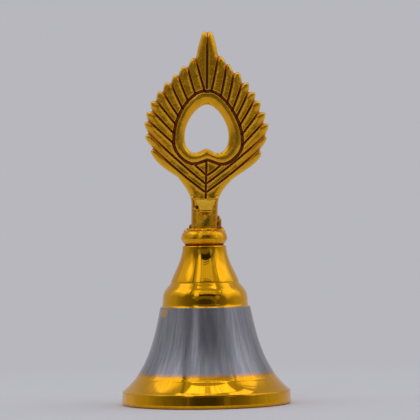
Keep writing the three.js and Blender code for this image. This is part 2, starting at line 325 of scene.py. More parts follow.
def turned_cup_material():
    """Polished gold-lacquered brass with a satin plated waist between two heights."""
    nodes = new_material("turned_cup")
    place = nodes.place()
    _, height = nodes.from_axis(place)
    lines = nodes.lathe_lines(place)
    streaks = nodes.polish_streaks(place)
    drift = (nodes.noise(place, 160.0, 4.0) - 0.5) * (0.9 * MM)
    dither = (nodes.noise(place, 2600.0, 2.0) - 0.5) * (2.4 * MM)
    above_foot = (height + drift + dither).ease((WAIST_FOOT - 0.9) * MM, (WAIST_FOOT + 1.1) * MM)
    below_top = (height + dither * 0.12).ease((WAIST_TOP + 0.12) * MM, (WAIST_TOP - 0.12) * MM)
    squashed = nodes.stretch(place, BLOTCH_SQUASH)
    x, y, z = (c * MM for c in BLOTCH_PLACE)
    centre = (x, y, z * BLOTCH_SQUASH)
    from_blotch = nodes.add("VectorMath", {0: squashed, 1: centre}, "Value", operation="DISTANCE")
    ragged = nodes.noise(place, 620.0) * (2.2 * MM) + from_blotch
    outside_blotch = ragged.ease(BLOTCH_RADIUS * MM, BLOTCH_RADIUS * 1.6 * MM, 0.42, 1.0)
    plated = above_foot * below_top * outside_blotch

    smudge = nodes.noise(nodes.stretch(place, 0.35), 90.0, 5.0, 0.6)
    worn = streaks * 0.5 + smudge * 0.5
    gold = nodes.mix(worn.ease(0.38, 0.64), GOLD, GOLD_DEEP)
    haze = above_foot * (1.0 - above_foot)
    gold = nodes.mix(haze.ease(0.02, 0.22, 0.0, 0.7), gold, AMBER)
    grey_tone = nodes.polish_streaks(place, 13.0) * 0.75 + streaks * 0.25
    grey = nodes.mix(grey_tone.ease(0.40, 0.60), PLATED_GREY_DARK, PLATED_GREY)
    specks = nodes.noise(place, 950.0, 1.0)
    grey = nodes.mix(specks.ease(0.77, 0.80, 0.0, 0.5), grey, GREY_SPECK)
    gold_rough = streaks * 0.035 + smudge.ease(0.30, 0.80, 0.02, 0.05)
    return nodes.finish({
        "Base Color": nodes.mix(plated, gold, grey),
        "Roughness": nodes.add("Mix", {0: plated, 2: gold_rough, 3: lines * 0.02 + 0.26}),
        "Metallic": plated * -0.18 + 1.0,
        "Normal": nodes.bump(0.06, 0.03 * MM, lines * 0.12 + streaks),
        "Tangent": nodes.add("Tangent", {}, direction_type="RADIAL", axis="Z"),
        "Anisotropic": 0.7,
        "Anisotropic Rotation": 0.25,
    })


def raw_brass_material(name, rough):
    """Bare turned brass, dulled and stained with age."""
    nodes = new_material(name)
    place = nodes.place()
    lines = nodes.lathe_lines(place)
    stain = nodes.noise(place, 140.0, 6.0, 0.6)
    spots = nodes.noise(place, 900.0)
    tone = nodes.mix(stain.ease(0.35, 0.68), RAW_BRASS, RAW_BRASS_DARK)
    return nodes.finish({
        "Base Color": nodes.mix(spots.ease(0.62, 0.74), tone, RAW_BRASS_DARK),
        "Roughness": lines * 0.10 + stain * 0.25 + (rough - 0.12),
        "Normal": nodes.bump(0.35, 0.05 * MM, lines * 0.6 + spots * 0.4),
        "Metallic": 1.0,
    })


# ---- Cup ----


def cup_profile():
    """The cup's outline, anticlockwise from the mouth, and how many of its points are outside."""
    lip_top = 5.2
    waist_top = 36.3
    outside = chain(
        [(28.2, 0.25), (28.45, 0.0), (30.4, 0.0)],
        arc((RIM_RADIUS - 1.15, 1.1), 1.1, -75, 0, 6),
        [(RIM_RADIUS - 0.29, 4.75)],
        arc((RIM_RADIUS - 0.66, 4.95), 0.28, 8, 62, 4),
        bezier((31.15, lip_top + 0.06), (21.9, 12.6), (19.1, 25.2), (16.88, waist_top), 60)[1:],
        [(16.86, 36.42), (16.62, 36.5), (16.30, 36.72), (16.12, 37.1), (16.02, 37.7)],
        bezier((16.0, 38.2), (15.93, 42.4), (14.9, 42.7), (12.98, 45.15), 20),
        [(12.86, 45.32), (12.80, 45.5), (12.82, 45.68)],
        bezier((12.80, 45.75), (11.35, 49.8), (8.75, 53.1), (8.22, CUP_TOP - 1.0), 24),
        arc((7.62, CUP_TOP - 0.62), 0.60, 5, 85, 6),
        [(7.2, CUP_TOP)],
    )
    inside = chain(
        [(2.35, CUP_TOP), (2.35, 56.0), (5.4, 56.0)],
        curves(
            (5.8, 55.6),
            ((6.8, 53.5), (8.2, 49.0), (9.8, 46.0), 8),
            ((11.2, 43.6), (13.0, 41.5), (13.9, 36.0), 8),
            ((15.6, 27.5), (19.5, 14.5), (25.2, 6.0), 20),
            ((26.2, 4.4), (27.4, 2.4), (28.2, 0.25), 6),
        )[1:-1],
    )
    return np.vstack([outside, inside]), len(outside)


def cut_grooves(profile, outside):
    """Fine turned grooves in the outside: one above the lip and one above the bead."""
    for height, depth, width in ((9.95, 0.10, 0.16), (45.5, 0.12, 0.16)):
        profile[:outside, 0] -= depth * hill(profile[:outside, 1] - height, width)
    return profile


def refine(line, longest):
    """Splits the long steps of a line."""
    fine = []
    for a, b in zip(line, line[1:]):
        parts = max(1, math.ceil(np.hypot(*(b - a)) / longest))
        fine.extend(a + (b - a) * k / parts for k in range(parts))
    return np.array([*fine, line[-1]])


def bell_cup():
    """The cup, with lacquer and plating outside and bare brass inside."""
    profile, outside_count = cup_profile()
    wall = refine(profile[:outside_count], 0.35)
    profile = cut_grooves(np.vstack([wall, profile[outside_count:]]), len(wall))
    vertices, faces = revolve(profile, ROUND_STEPS)
    row_of_face = np.arange(len(faces)) // ROUND_STEPS
    inside_wall = (row_of_face >= len(wall) - 1).astype(int)
    materials = [turned_cup_material(), raw_brass_material("cup_inside", 0.45)]
    cup = new_piece("turned_cup", vertices, faces, materials, face_materials=inside_wall)
    return finish_piece(cup, "bell", "bell_cup")


# ---- Handle outlines ----
# The plume is drawn in its own plane: u to the right of its centre line and v up from the collar.
# Each side lists its barbs from the top one down, as the right half sees them: the notch above a
# barb, then the barb's tip. Both faces of the casting carry the same relief.

HANDLE_LEAN = math.radians(1.6)
PLUME_CENTRE = 0.3
NECK_FOOT = 0.15
SPIKE_FOOT = (4.0, 65.7)  # where the top spike's sides leave the first barbs
SPIKE_TOP = 74.5
HOOD_CENTRE = 0.2  # the hood is the bright slope at the top of the neck, partly from a painted highlight
HOOD_TOP = 11.7
HOOD_FOOT = 7.1
HOOD_HALF = 3.95  # half the hood's width at its top
HOOD_FOOT_HALF = 2.2
HOOD_FADE = 1.4  # how far the hood's foot takes to run out
LEFT, RIGHT = -1, 1
NOTCHES = {
    LEFT: [(4.4, 64.3), (7.1, 61.0), (10.7, 57.7), (13.4, 54.9), (16.4, 51.6),
           (18.8, 48.3), (20.3, 44.4), (21.7, 40.7), (21.6, 36.2), (19.8, 30.5)],
    RIGHT: [(4.2, 65.4), (7.1, 62.1), (9.9, 59.0), (13.1, 55.3), (15.5, 52.0),
            (17.8, 49.0), (19.6, 44.6), (21.2, 40.4), (21.9, 35.7), (20.1, 30.6)],
}
TIPS = {
    LEFT: [(5.5, 64.6), (9.1, 61.5), (12.2, 58.3), (15.5, 55.3), (18.2, 51.9),
           (20.9, 48.0), (22.5, 43.9), (23.3, 39.9), (23.0, 34.9), (20.8, 29.3)],
    RIGHT: [(5.7, 65.0), (8.1, 62.5), (12.1, 59.5), (15.6, 55.7), (18.1, 52.1),
            (20.2, 48.4), (22.1, 44.5), (23.4, 40.2), (22.9, 34.9), (20.8, 29.0)],
}
BARBS_PER_SIDE = len(TIPS[LEFT])
LOWER_EDGES = {
    LEFT: [(5.2, 9.5), (5.1, 13.3), (8.0, 16.6), (10.6, 19.9), (13.4, 21.6), (19.4, 24.9)],
    RIGHT: [(4.7, 9.5), (4.7, 13.2), (7.2, 16.2), (9.7, 18.9), (12.4, 21.5), (20.0, 25.0)],
}


def bowed(a, b, bow, steps):
    """A shallow arch from a to b, which stands off to the right of the way there by bow."""
    a, b = np.array(a, float), np.array(b, float)
    t = np.linspace(0, 1, steps + 1)[1:, None]
    along = b - a
    off = np.array((along[1], -along[0])) / max(np.hypot(*along), 1e-9)
    return a + along * t + off * bow * 4 * t * (1 - t)


def plume_side(side):
    """Half of the outline from the neck's foot up to the cleft in the spike's top."""
    neck, pull, push, bend, pull_2, push_2 = LOWER_EDGES[side]
    tips, notches = TIPS[side], NOTCHES[side]
    lower = curves(neck, (pull, push, bend, 24), (pull_2, push_2, tips[-1], 30))
    parts = [[(neck[0], NECK_FOOT)], lower]
    for index in range(BARBS_PER_SIDE - 1, -1, -1):
        parts.append(bowed(tips[index], notches[index], 0.05, 6))
        above = tips[index - 1] if index else SPIKE_FOOT
        parts.append(bowed(notches[index], above, 0.30 if index else 0.0, 12))
    spike = curves(
        SPIKE_FOOT,
        ((3.75, 68.0), (2.9, 71.2), (2.15, 73.3), 16),
        ((1.95, 74.1), (1.45, SPIKE_TOP), (0.95, SPIKE_TOP), 8),
        ((0.5, SPIKE_TOP), (0.25, 74.3), (0.0, 74.0), 6),
    )
    parts.append(spike[1:])
    return chain(*parts)


def resample(line, step, closed=False):
    """Points at even steps along a line."""
    line = np.asarray(line, float)
    if closed:
        line = np.vstack([line, line[:1]])
    lengths = np.hypot(*np.diff(line, axis=0).T)
    at = np.concatenate([[0], np.cumsum(lengths)])
    count = max(2, int(round(at[-1] / step)) + 1)
    wanted = np.linspace(0, at[-1], count)
    points = np.column_stack([np.interp(wanted, at, line[:, k]) for k in (0, 1)])
    return points[:-1] if closed else points


def rounded(line, passes, closed=True):
    """A line with its corners worn round, by averaging each point with its neighbours."""
    line = np.array(line, float)
    for _ in range(passes):
        if closed:
            line = 0.5 * line + 0.25 * (np.roll(line, 1, 0) + np.roll(line, -1, 0))
        else:
            line[1:-1] = 0.5 * line[1:-1] + 0.25 * (line[:-2] + line[2:])
    return line


def mirrored(points):
    flipped = np.array(points, float)[::-1]
    flipped[:, 0] *= -1
    return flipped


def plume_outline():
    """The whole outline, open along the neck's foot, with its tips and notches worn round."""
    line = np.vstack([plume_side(RIGHT), mirrored(plume_side(LEFT))[1:]])
    line = rounded(resample(line, 0.14), 5, closed=False)
    return resample(line, 0.20)


def ring_edge():
    """The ring's outer edge: an arch above, two lobes and a cusp below."""
    side = curves(
        (0, 26.4),
        ((1.5, 26.0), (3.6, 24.8), (5.5, 24.8), 12),
        ((8.67, 24.85), (13.83, 29.8), (12.8, 34.0), 24),
        ((13.23, 41.63), (5.52, 53.45), (0, 52.0), 40),
    )
    edge = resample(np.vstack([side, mirrored(side)[1:-1]]), 0.25, closed=True)
    # The casting's right side is a little fuller than its left, most of all low down.
    shift = 0.1 + 0.65 * smoothstep(50, 33, edge[:, 1])
    return edge + np.column_stack([shift, np.zeros(len(edge))])


def opening_edge():
    """The opening: an egg with an inverted-heart cusp at its foot."""
    side = curves(
        (0, 30.7),
        ((1.0, 30.7), (2.6, 29.0), (4.3, 29.0), 12),
        ((7.0, 29.0), (8.37, 32.2), (8.2, 35.0), 16),
        ((8.37, 40.5), (3.6, 47.1), (0, 47.07), 36),
    )
    edge = resample(np.vstack([side, mirrored(side)[1:-1]]), 0.25, closed=True)
    return rounded(edge, 2) + np.array((0.15, 0.0))


def on_ring(edge, bearing, side):
    """The point of the ring's outer edge on a bearing from the top, seen from its middle."""
    middle = np.array((edge[:, 0].mean(), 38.0))
    off = edge - middle
    turn = np.degrees(np.arctan2(off[:, 0] * side, off[:, 1]))
    return edge[np.argmin(np.abs(turn - bearing))]


def barb_grooves(edge):
    """The engraved lines between barbs, each from its root to its notch."""
    grooves = []
    vein_feet = {8: 17.6, 9: 14.4}
    for side in (LEFT, RIGHT):
        for index, notch in enumerate(NOTCHES[side]):
            notch = np.array(notch) * (side, 1)
            if index in vein_feet:
                root = np.array((0.15 + 0.35 * side, vein_feet[index]))
                knee = root + (notch - root) * 0.45 + np.array((-side, 1.0)) * -0.55
                pull, push = root + (knee - root) * 0.6, knee + (notch - knee) * 0.3
            else:
                root = on_ring(edge, 5 + 15.6 * index, side)
                lift = np.array((side * 0.45, 0.5)) * (1.0 if index > 0 else 0.2)
                pull, push = root + (notch - root) * 0.35 + lift, root + (notch - root) * 0.7 + lift
            grooves.append(curves(root, (pull, push, notch, 24)))
    return grooves


def centre_marks():
    """The engraved lines on the centre: vein and chevron."""
    return [
        curves((0.18, 25.9), ((0.3, 22), (0.0, 16), (0.12, 11.9), 16)),
        curves((-3.9, 24.2), ((-2.8, 23.3), (-1.6, 22.3), (-0.2, 21.0), 10)),
        curves((5.4, 24.3), ((4.1, 23.1), (2.7, 21.9), (0.5, 20.6), 10)),
    ]


def hood_edges():
    """The four edges of the hood on the neck."""
    top = [(HOOD_CENTRE - HOOD_HALF, HOOD_TOP), (HOOD_CENTRE + HOOD_HALF, HOOD_TOP)]
    foot = [(HOOD_CENTRE - HOOD_FOOT_HALF, HOOD_FOOT), (HOOD_CENTRE + HOOD_FOOT_HALF, HOOD_FOOT)]
    return [np.array(edge) for edge in (top, (foot[0], top[0]), (foot[1], top[1]), foot)]


def spike_cleft():
    """The engraved line up the middle of the top spike."""
    return curves((0, 53.2), ((0.1, 60), (-0.1, 68), (0.0, 74.2), 24))


# ---- Handle relief ----
# Heights are measured from the casting's middle plane.

PLUME_HEIGHT = 1.40
RING_HEIGHT_AT_EDGE = 1.62
BORDER_HEIGHT = 1.50
HOOD_HEIGHT = 1.60
NECK_HEIGHT = 3.35
BARB_SPAN = 0.8  # how far from a groove a barb is rounded
GROOVE_HALF = 0.40  # half the width of an engraved line
BURR_PLACE = 0.56  # from an engraved line's middle to the burr beside it
RING_GROOVE_HALF = 0.66
RING_BURR_PLACE = 0.84
RING_BEAD_SHARE = 0.19  # the same on the ring's side, as a share of its width
RING_BEAD_WIDTH = 0.045
PIT_U, PIT_V = -3.2, 8.5  # a casting pit low on the neck's left


def distance_to(points, line, closed=False):
    """Distance from each point to a line, and how far along the line its nearest point lies."""
    line = np.asarray(line, float)
    a = line
    b = np.roll(line, -1, 0) if closed else line[1:]
    a = a if closed else line[:-1]
    run = b - a
    length2 = (run**2).sum(1)
    best = np.full(len(points), 1e9)
    where = np.zeros(len(points))
    for start in range(0, len(points), 4000):
        part = points[start : start + 4000]
        off = part[:, None, :] - a[None]
        t = np.clip((off * run[None]).sum(2) / length2[None], 0, 1)
        gap = np.hypot(*(off - t[..., None] * run[None]).transpose(2, 0, 1))
        nearest = gap.argmin(1)
        rows = np.arange(len(part))
        best[start : start + 4000] = gap[rows, nearest]
        where[start : start + 4000] = (nearest + t[rows, nearest]) / len(a)
    return best, where


def inside(points, loop):
    """Whether each point lies inside a closed loop."""
    odd = np.zeros(len(points), bool)
    x, y = points[:, 0], points[:, 1]
    for (x0, y0), (x1, y1) in zip(loop, np.roll(loop, -1, 0)):
        if y0 == y1:
            continue
        crosses = ((y0 > y) != (y1 > y)) & (x < (x1 - x0) * (y - y0) / (y1 - y0) + x0)
        odd ^= crosses
    return odd


def dome(distance, radius, start=0.0):
    """A quarter-round rise from start at an edge to 1 at radius and beyond."""
    t = np.clip(distance / radius, 0, 1)
    return start + (1 - start) * np.sqrt(np.clip(1 - (1 - t) ** 2, 0, 1))


class Relief:
    """The height of the casting's face above its middle plane, how stained it is, and its painted highlight
    and shade.
    """

    def __init__(self):
        self.outline = plume_outline()
        self.opening = opening_edge()
        self.ring = ring_edge()
        self.grooves = barb_grooves(self.ring)
        self.marks = centre_marks()
        self.cleft = spike_cleft()
        self.hood = hood_edges()

    def engraving(self, points):
        """How far each point is into a groove, a stain, a burr and a soft valley, and its distance
        to the nearest line above it and to the nearest one below it."""
        cut, stain, burr, valley = (np.zeros(len(points)) for _ in range(4))
        above, below = (np.full(len(points), 9.0) for _ in range(2))
        lines = [(groove, True) for groove in self.grooves + [self.cleft]]
        lines += [(mark, False) for mark in self.marks]
        for line, runs_out in lines:
            gap, along = distance_to(points, line)
            foot = np.interp(along * (len(line) - 1), np.arange(len(line)), line[:, 1])
            upright = line is self.cleft or line is self.marks[0]
            under = (foot > points[:, 1] + 0.03) | upright
            above = np.where(under, np.minimum(above, gap), above)
            below = np.where(under, below, np.minimum(below, gap))
            fade = 1 - smoothstep(0.62, 0.90, along) if runs_out else 1.0
            cut = np.maximum(cut, fade * np.clip(1 - gap / GROOVE_HALF, 0, 1) ** 0.7)
            stain = np.maximum(stain, (0.45 + 0.55 * fade) * smoothstep(0.46, 0.22, gap))
            burr = np.maximum(burr, (0.3 + 0.7 * under) * fade * hill(gap - BURR_PLACE, 0.18))
            if runs_out and not upright:
                deep = smoothstep(0.45, 1.0, along)
                valley = np.maximum(valley, deep * hill(gap, GROOVE_HALF + 0.4 * deep))
        return cut, stain, burr, valley, above, below

    def heights(self, points):
        """The height of each point, its stain, and its painted highlight and shade."""
        outer, _ = distance_to(points, self.outline)
        hole, _ = distance_to(points, self.opening, closed=True)
        ring, _ = distance_to(points, self.ring, closed=True)
        on_band = inside(points, self.ring)
        u, v = points[:, 0], points[:, 1]
        cut, stain, burr, valley, above, below = self.engraving(points)

        # Barbs lie like shingles: each is highest beside the groove above it and slopes to the next.
        crown = dome(np.minimum(above, below), BARB_SPAN)
        slope = np.clip((above / (above + below) - 0.25) / 0.75, 0, 1) ** 2
        plume = PLUME_HEIGHT + 0.50 * crown - 0.14 * slope - 0.15 * valley + 0.24 * burr - 0.45 * cut
        plume = plume + 0.14 * hill(ring - RING_BURR_PLACE, 0.16)
        share = ring / np.maximum(ring + hole, 1e-6)
        band = RING_HEIGHT_AT_EDGE + 0.32 * smoothstep(0.16, 0.36, share)
        band = band - 0.90 * np.clip((share - 0.44) / 0.56, 0, 1) ** 1.4
        bead = hill(share - RING_BEAD_SHARE, RING_BEAD_WIDTH)
        band = band + 0.10 * bead
        ring_cut = np.clip(1 - ring / RING_GROOVE_HALF, 0, 1) ** 0.6
        height = np.where(on_band, band, plume) - 0.85 * ring_cut

        strip = BORDER_HEIGHT + 0.42 * np.clip(outer, 0, 1.4)
        height = np.maximum(height, self.border(points, outer) * strip)
        # The hood slopes from the thin plume to the thicker neck, and a flute starts under it.
        centre = np.abs(u - HOOD_CENTRE)
        hood_ends = [HOOD_FOOT - HOOD_FADE, HOOD_FOOT, HOOD_TOP]
        hood_half = np.interp(v, hood_ends, [1.2, HOOD_FOOT_HALF, HOOD_HALF])
        on_hood = smoothstep(0.14, -0.14, centre - hood_half) * smoothstep(-HOOD_FADE, 0.12, v - HOOD_FOOT)
        front = np.minimum(HOOD_HEIGHT + 0.42 * (HOOD_TOP - v), NECK_HEIGHT)
        hollow = np.clip(1 - (centre / 3.5) ** 2, 0, 1) ** 0.8
        flute = 1.05 * hollow * smoothstep(10.6, 8.2, v) * smoothstep(-2.5, 2.0, v)
        neck = front - flute * (1 - on_hood)
        neck = neck + 0.35 * np.exp(-((centre**2 + (v - 6.2) ** 2) / 0.35))
        pit = np.hypot(u - PIT_U, (v - PIT_V) * 0.8) * 1.15
        neck = neck - 0.8 * smoothstep(0.8, 0.3, pit)
        on_neck = smoothstep(HOOD_TOP + 0.20, HOOD_TOP - 0.10, v)
        height = height + (neck - height) * on_neck
        neck_side = 1.95 + 1.1 * smoothstep(14.5, 9.5, v)
        edge_strip = smoothstep(1.6, 1.1, outer) * smoothstep(17.0, 12.0, v)
        height = np.maximum(height, edge_strip * neck_side)

        on_spike = smoothstep(63, 68, v)
        rim = dome(outer, np.where(v < 12.5, 1.5, 0.75 + 1.2 * on_spike), 0.10)
        rim = rim * (1 - 0.32 * np.clip(1 - outer / 1.9, 0, 1) * (v > 12.5))
        height = height * np.minimum(rim, dome(hole, 1.15, 0.12))

        stain = np.maximum(np.maximum(stain, smoothstep(0.70, 0.46, ring)), 0.38 * valley)
        scorch = 0.22 * smoothstep(1.5, 0.8, outer)
        stain = np.where(v < HOOD_TOP + 0.2, np.maximum(smoothstep(0.9, 0.4, pit), scorch), stain)
        # Painted highlight: a brighter, smoother colour on the outer edges, round the opening, and along
        # the burrs, the ring's beads and the hood.
        highlight_and_shade = burr * (1 - cut) + 0.7 * smoothstep(1.6, 0.4, np.minimum(outer, hole))
        beads = hill(ring - RING_BURR_PLACE, 0.14) + bead * on_band
        highlight_and_shade = np.maximum(highlight_and_shade, np.maximum(beads, 0.75 * on_hood * (v < HOOD_TOP)))
        # Negative values darken the colour: a painted shadow down the flute under the hood, and darker
        # mottled patches round the outside of the ring and in the V.
        flute_shadow_and_dark_patches = 1.3 * hill(centre, 1.6) * smoothstep(7.8, 6.6, v) * smoothstep(0.5, 3.5, v)
        flute_shadow_and_dark_patches = flute_shadow_and_dark_patches + 0.6 * on_band * smoothstep(0.60, 0.30, share) * smoothstep(3.0, 9.0, np.abs(u))
        in_v = (v > HOOD_TOP) * smoothstep(27, 23, v) * smoothstep(1.2, 2.4, outer)
        highlight_and_shade = highlight_and_shade - flute_shadow_and_dark_patches - 0.65 * in_v * (1 - on_band) * (1 - burr)
        return height, np.clip(stain, 0, 1), np.clip(highlight_and_shade, -1, 1)

    def border(self, points, outer):
        """1 on the raised strip along the two lower outer edges, 0 elsewhere."""
        low = points[:, 1] < 29.0
        fade = smoothstep(30.0, 27.0, points[:, 1]) * smoothstep(1.55, 1.15, outer)
        return np.where(low, fade, 0.0)


class PointBag:
    """Points of a flat mesh, none closer to another than it is asked to be."""

    def __init__(self, cell=0.5):
        self.cell = cell
        self.cells = {}
        self.points = []

    def key(self, point):
        return int(point[0] // self.cell), int(point[1] // self.cell)

    def crowded(self, point, spacing):
        x, y = self.key(point)
        for i in (x - 1, x, x + 1):
            for j in (y - 1, y, y + 1):
                for other in self.cells.get((i, j), ()):
                    if math.hypot(point[0] - other[0], point[1] - other[1]) < spacing:
                        return True
        return False

    def put(self, points, spacing):
        for point in points:
            if not self.crowded(point, spacing):
                self.force(point)

    def force(self, point):
        point = (float(point[0]), float(point[1]))
        self.cells.setdefault(self.key(point), []).append(point)
        self.points.append(point)
        return len(self.points) - 1


def rows_beside(line, offsets, closed=False):
    """Points beside a line at each of several distances, on both of its sides."""
    if closed:
        run = np.roll(line, -1, 0) - np.roll(line, 1, 0)
    else:
        run = np.gradient(line, axis=0)
    normal = np.column_stack([-run[:, 1], run[:, 0]])
    normal /= np.maximum(np.hypot(*normal.T), 1e-9)[:, None]
    return [(offset, line + normal * offset * way) for offset in offsets for way in (1, -1)]


def plume_mesh_2d(relief):
    """Points and triangles of the plume's face, dense along every edge and engraved line."""
    bag = PointBag()
    outline = relief.outline
    loop = [bag.force(p) for p in outline]
    hole = [bag.force(p) for p in relief.opening]
    edges = [*zip(loop, loop[1:] + loop[:1]), *zip(hole, hole[1:] + hole[:1])]

    def keep_inside(points, outline_gap, hole_gap):
        points = np.asarray(points)
        good = inside(points, outline) & ~inside(points, relief.opening)
        points = points[good]
        outer, _ = distance_to(points, outline, closed=True)
        around, _ = distance_to(points, relief.opening, closed=True)
        return points[(outer > outline_gap) & (around > hole_gap)]

    for line, closed in ((outline, False), (relief.opening, True)):
        for offset, points in rows_beside(line, (0.06, 0.18, 0.36, 0.60, 0.90), closed):
            bag.put(keep_inside(points, offset * 0.92, offset * 0.92), 0.11 + offset * 0.16)
    lines = [(relief.ring, True, (0.0, 0.30, 0.68, 0.86, 1.06))]
    lines += [(resample(line, 0.24), False, (0.0, 0.14, 0.28, 0.44, 0.62)) for line in relief.hood]
    engraved = relief.grooves + relief.marks + [relief.cleft]
    lines += [(resample(line, 0.24), False, (0.0, 0.20, 0.42, 0.56, 0.70)) for line in engraved]
    for step in range(5):
        for line, closed, offsets in lines:
            for _, points in rows_beside(line, (offsets[step],), closed):
                bag.put(keep_inside(points, 0.05, 0.05), 0.125)
    fill = 0.40
    rows = np.arange(NECK_FOOT + fill / 2, SPIKE_TOP, fill * 0.87)
    grid = [
        np.column_stack([np.arange(-24, 24, fill) + (fill / 2) * (k % 2), np.full(120, v)])
        for k, v in enumerate(rows)
    ]
    bag.put(keep_inside(np.vstack(grid), 0.12, 0.12), 0.27)

    flat, _, faces, *_ = delaunay_2d_cdt([Vector(p) for p in bag.points], edges, [], 0, 1e-5)
    flat = np.array([tuple(p) for p in flat])
    faces = np.array([f for f in faces if len(f) == 3])
    middles = flat[faces].mean(1)
    kept = inside(middles, outline) & ~inside(middles, relief.opening)
    return flat, faces[kept]


def to_space(flat, height, side):
    """Plume coordinates to the bell's frame; side is -1 for the front face and 1 for the back."""
    u, v = flat[:, 0] + PLUME_CENTRE, flat[:, 1]
    x = u * math.cos(HANDLE_LEAN) + v * math.sin(HANDLE_LEAN)
    z = COLLAR_TOP + v * math.cos(HANDLE_LEAN) - u * math.sin(HANDLE_LEAN)
    return np.column_stack([x, side * height, z])


def cast_ripple(flat, seed):
    """The slight unevenness of a sand casting, in millimetres."""
    offset = Vector((seed, seed * 0.7, 3.1))
    values = []
    for u, v in flat:
        place = Vector((u, v, 0.0))
        coarse = noise.noise(place * 0.35 + offset)
        fine = noise.noise(place * 1.1 + offset)
        pits = noise.noise(place * 2.6 + offset)
        values.append(0.045 * coarse + 0.022 * fine + 0.007 * pits)
    return np.array(values)


def feather_handle():
    """The casting: two faces of relief, the wall between them, and a tenon."""
    relief = Relief()
    flat, faces = plume_mesh_2d(relief)
    height, stain, highlight_and_shade = relief.heights(flat)
    corners = flat[faces]
    way = np.cross(corners[:, 1] - corners[:, 0], corners[:, 2] - corners[:, 0])
    faces[way < 0] = faces[way < 0][:, ::-1]
    sides = []
    for side, seed in ((-1, 11.0), (1, 47.0)):
        rippled = height + cast_ripple(flat, seed) * smoothstep(0.3, 1.0, height)
        sides.append(to_space(flat, np.maximum(rippled, 0.05), side))
    count = len(flat)
    skin = faces.tolist() + (faces[:, ::-1] + count).tolist()
    edges = dict.fromkeys((a, b) for face in faces.tolist() for a, b in zip(face, face[1:] + face[:1]))
    skin += [(b, a, a + count, b + count) for a, b in edges if (b, a) not in edges]

    tenon_outline = [(0, -2.4), (3.6, -2.4), (4.0, -2.0), (4.0, NECK_FOOT + 0.5), (0, NECK_FOOT + 0.5)]
    tenon, tenon_faces = revolve(tenon_outline, SMALL_STEPS)
    lean = Matrix.Rotation(HANDLE_LEAN, 3, "Y")
    tenon = np.array([lean @ Vector(p) for p in tenon]) + np.array((0, 0, COLLAR_TOP))
    vertices, all_faces = joined((np.vstack(sides), skin), (tenon, tenon_faces))
    handle = new_piece("cast_feather_handle", vertices, all_faces, cast_gold_material())
    # The stain, and the painted highlight and shade, go onto the mesh as point attributes.
    for name, values in (("stain", stain), ("highlight_and_shade", highlight_and_shade)):
        attribute = handle.data.attributes.new(name, "FLOAT", "POINT")
        whole = np.concatenate([values, values, np.zeros(len(tenon))]).astype(np.float32)
        attribute.data.foreach_set("value", whole)
    return finish_piece(handle, "bell", "feather_handle")


def cast_gold_material():
    """Cast brass under gold lacquer, brown in the engraved lines, lighter on edges, burrs and the hood as
    painted highlight, darker under the hood as painted shadow.
    """
    nodes = new_material("cast_gold")
    place = nodes.place()
    stain = nodes.add("Attribute", {}, "Fac", attribute_name="stain")
    highlight_and_shade = nodes.add("Attribute", {}, "Fac", attribute_name="highlight_and_shade")
    patches = nodes.noise(place, 380.0, 3.0, 0.50)
    grain = nodes.noise(place, 1300.0, 3.0, 0.5)
    # The olive mottling thins out where the painted highlight is.
    olive = patches.ease(0.38, 0.68, 0.0, 0.50) * (1.0 - highlight_and_shade)
    tone = nodes.mix(olive, CAST_GOLD, CAST_GOLD_OLIVE)
    # Painted shadow, and darker mottled patches, where the highlight-and-shade attribute is negative.
    shade_and_patina = highlight_and_shade.ease(0.0, -1.0) * patches.ease(0.32, 0.55)
    tone = nodes.mix(shade_and_patina, tone, CAST_SHADE_AND_PATINA)
    # Painted highlight where that attribute is positive.
    tone = nodes.mix(highlight_and_shade.ease(0.30, 0.80, 0.0, 0.9), tone, CAST_WORN_HIGHLIGHT)
    stained = grain * 0.25 + stain
    tone = nodes.mix(stained.ease(0.10, 0.45), tone, AMBER)
    dirty = stained.ease(0.40, 0.85)
    rough = highlight_and_shade * -0.06 + (patches * 0.16 + 0.17)
    pits = nodes.noise(place, 5200.0, 2.0)
    return nodes.finish({
        "Base Color": nodes.mix(dirty, tone, GROOVE_BROWN_AND_SHADE),
        "Roughness": dirty * 0.15 + rough,
        "Normal": nodes.bump(0.09, 0.08 * MM, grain * 0.7 + pits * 0.3),
        "Metallic": dirty * -0.25 + 0.90,
        "Coat Weight": 0.2,
        "Coat Roughness": 0.18,
    })


# ---- Collar and braze ----


def lacquered_gold_material(name, smooth_rough, uneven, bump_strength, brown):
    """Gold lacquer on brass that was filed by hand: broken reflections, brown where it pooled.
    It has painted shadow in the joint under the collar and on the braze left of the neck, and is scorched
    on the braze at the neck's two sides."""
    nodes = new_material(name)
    place = nodes.place()
    x, _, z = nodes.split(place)
    waves = nodes.noise(nodes.stretch(place, 1.6), uneven, 4.0, 0.55)
    spots = nodes.noise(place, 1300.0, 4.0, 0.6)
    tone = nodes.mix(waves.ease(0.40, 0.66), GOLD, GOLD_DEEP)
    tone = nodes.mix(spots.ease(0.50, 0.70, 0.0, brown), tone, AMBER)
    beside_neck = x.math("ABSOLUTE").ease(4.9 * MM, 5.5 * MM)
    scorched = beside_neck * z.ease((COLLAR_TOP + 0.2) * MM, (COLLAR_TOP + 0.9) * MM, 0.0, 0.8)
    tone = nodes.mix(scorched, tone, SCORCHED)
    # Painted shadow on the braze left of the neck, in the crease above the collar.
    left_of_neck = x.ease(-4.7 * MM, -5.0 * MM)
    left_neck_shadow = left_of_neck * z.ease((COLLAR_TOP + 0.5) * MM, (COLLAR_TOP + 1.2) * MM)
    tone = nodes.mix(left_neck_shadow, tone, CAST_SHADE_AND_PATINA)
    # Painted shadow: the collar's foot, down in the joint on the cup, turns dark brown and less metallic.
    joint = z.ease((CUP_TOP + 0.95) * MM, (CUP_TOP + 0.55) * MM)
    return nodes.finish({
        "Base Color": nodes.mix(joint, tone, GROOVE_BROWN_AND_SHADE),
        "Metallic": joint * -0.7 + 1.0,
        "Roughness": spots * 0.16 + smooth_rough,
        "Normal": nodes.bump(bump_strength, 0.35 * MM, waves * 0.75 + spots * 0.25),
    })


